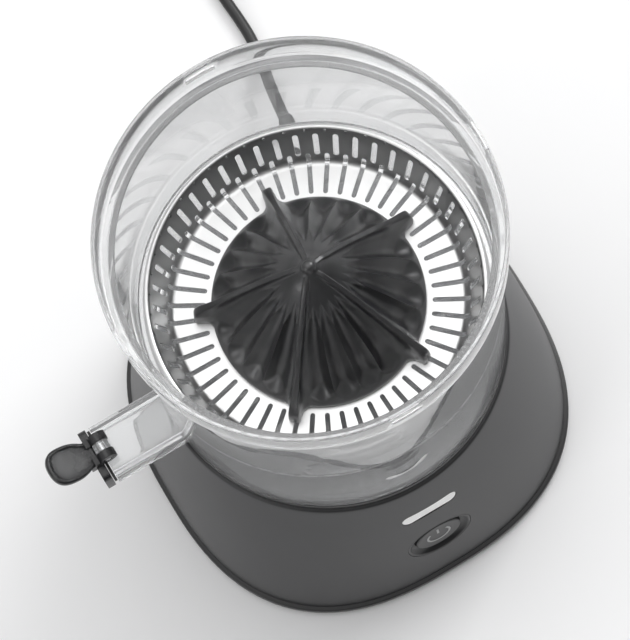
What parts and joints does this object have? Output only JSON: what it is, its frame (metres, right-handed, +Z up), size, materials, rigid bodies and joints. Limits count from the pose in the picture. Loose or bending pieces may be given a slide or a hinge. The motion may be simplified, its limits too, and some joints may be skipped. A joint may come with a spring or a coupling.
{
  "type": "citrus press juicer",
  "caption": "Electric citrus press: rounded-square motor base, clear bowl with drip-stop spout, slotted steel strainer and fluted reamer.",
  "frame": {"origin": "centre of the object's own box (without the lead) at the surface it stands on; the drive axis is 16.4 mm towards +X", "axes": "+Z up, -Y towards the front with the button, -X towards the spout, +Y towards the lead"},
  "size_m": [0.2755, 0.3235, 0.2444],
  "materials": {
    "satin_grey": "fine satin texture, dark grey",
    "black_plastic": "satin black moulded plastic",
    "charcoal_plastic": "semi-gloss charcoal moulded plastic",
    "clear_plastic": "clear polished plastic",
    "stainless_steel": "stainless sheet and turned steel",
    "indicator_lens": "frosted light pipe",
    "rubber": "matte black rubber and soft vinyl",
    "gear_plastic": "natural acetal",
    "circuit_board": "green solder mask",
    "brass": "turned brass and sintered bronze",
    "motor_iron": "zinc-plated motor steel and laminations"
  },
  "bodies": {
    "base": {"base_plate": "black_plastic", "foot_1": "rubber", "foot_2": "rubber", "foot_3": "rubber", "foot_4": "rubber", "base_screw_1": "stainless_steel", "base_screw_2": "stainless_steel", "base_screw_3": "stainless_steel", "base_screw_4": "stainless_steel", "pillar_1": "stainless_steel", "pillar_2": "stainless_steel", "pillar_3": "stainless_steel", "pillar_4": "stainless_steel", "housing": "satin_grey", "top_deck": "black_plastic", "deck_screw_1": "stainless_steel", "deck_screw_2": "stainless_steel", "deck_screw_3": "stainless_steel", "deck_screw_4": "stainless_steel", "case_screw_1": "stainless_steel", "case_screw_2": "stainless_steel", "case_screw_3": "stainless_steel", "gear_case": "black_plastic", "idler_pin": "stainless_steel", "motor_can": "motor_iron", "motor_end_cap": "black_plastic", "motor_bush_top": "brass", "motor_bush_bottom": "brass", "motor_magnet_1": "motor_iron", "motor_magnet_2": "motor_iron", "motor_screw_1": "stainless_steel", "motor_screw_2": "stainless_steel", "upper_bush": "brass", "lower_bush": "brass", "shaft_seal": "rubber", "indicator_lens": "indicator_lens", "button_bezel": "black_plastic", "switch": "black_plastic", "control_board": "circuit_board", "indicator_led": "indicator_lens", "strain_relief": "rubber", "lead": "rubber", "lead_coil": "rubber", "lead_tail": "rubber", "plug": "rubber", "plug_prong_1": "brass", "plug_prong_2": "brass"},
    "rotor": {"armature": "motor_iron", "motor_pinion": "brass"},
    "idler": {"idler_gear": "gear_plastic"},
    "output": {"output_gear": "gear_plastic", "drive_shaft": "stainless_steel"},
    "button": {"power_button": "black_plastic"},
    "bowl": {"bowl": "clear_plastic", "flap_pin": "stainless_steel"},
    "flap": {"spout_flap": "black_plastic", "flap_seal": "rubber"},
    "strainer": {"strainer": "stainless_steel"},
    "reamer": {"reamer": "charcoal_plastic", "drive_socket": "stainless_steel"}
  },
  "joints": [
    {"name": "output_spin", "type": "hinge", "parent": "base", "child": "output", "pos_m": [0.01642, 0, 0.09], "axis": [0, 0, 1], "continuous": true},
    {"name": "idler_spin", "type": "hinge", "parent": "base", "child": "idler", "pos_m": [0.01642, 0.02625, 0.09], "axis": [0, 0, 1], "continuous": true},
    {"name": "motor_spin", "type": "hinge", "parent": "base", "child": "rotor", "pos_m": [-0.0009, 0.01625, 0.06], "axis": [0, 0, 1], "continuous": true},
    {"name": "button_press", "type": "slide", "parent": "base", "child": "button", "axis": [0, 0.9913, -0.1318], "range_m": [0, 0.001], "stiffness_N_per_m": 900, "springref_m": -0.001},
    {"name": "bowl_lift", "type": "slide", "parent": "base", "child": "bowl", "axis": [0, 0, 1], "range_m": [0, 0.08]},
    {"name": "flap_swing", "type": "hinge", "parent": "bowl", "child": "flap", "pos_m": [-0.07648, 0, 0.1304], "axis": [0, 1, 0], "range_deg": [0, 75]},
    {"name": "strainer_lift", "type": "slide", "parent": "bowl", "child": "strainer", "axis": [0, 0, 1], "range_m": [0, 0.1]},
    {"name": "reamer_spin", "type": "hinge", "parent": "strainer", "child": "reamer", "pos_m": [0.01642, 0, 0.16], "axis": [0, 0, 1], "continuous": true}
  ],
  "couplings": [
    {"joint": "idler_spin", "follows": "output_spin", "ratio": -3.2},
    {"joint": "motor_spin", "follows": "output_spin", "ratio": 9.6},
    {"joint": "reamer_spin", "follows": "output_spin", "ratio": 1}
  ]
}
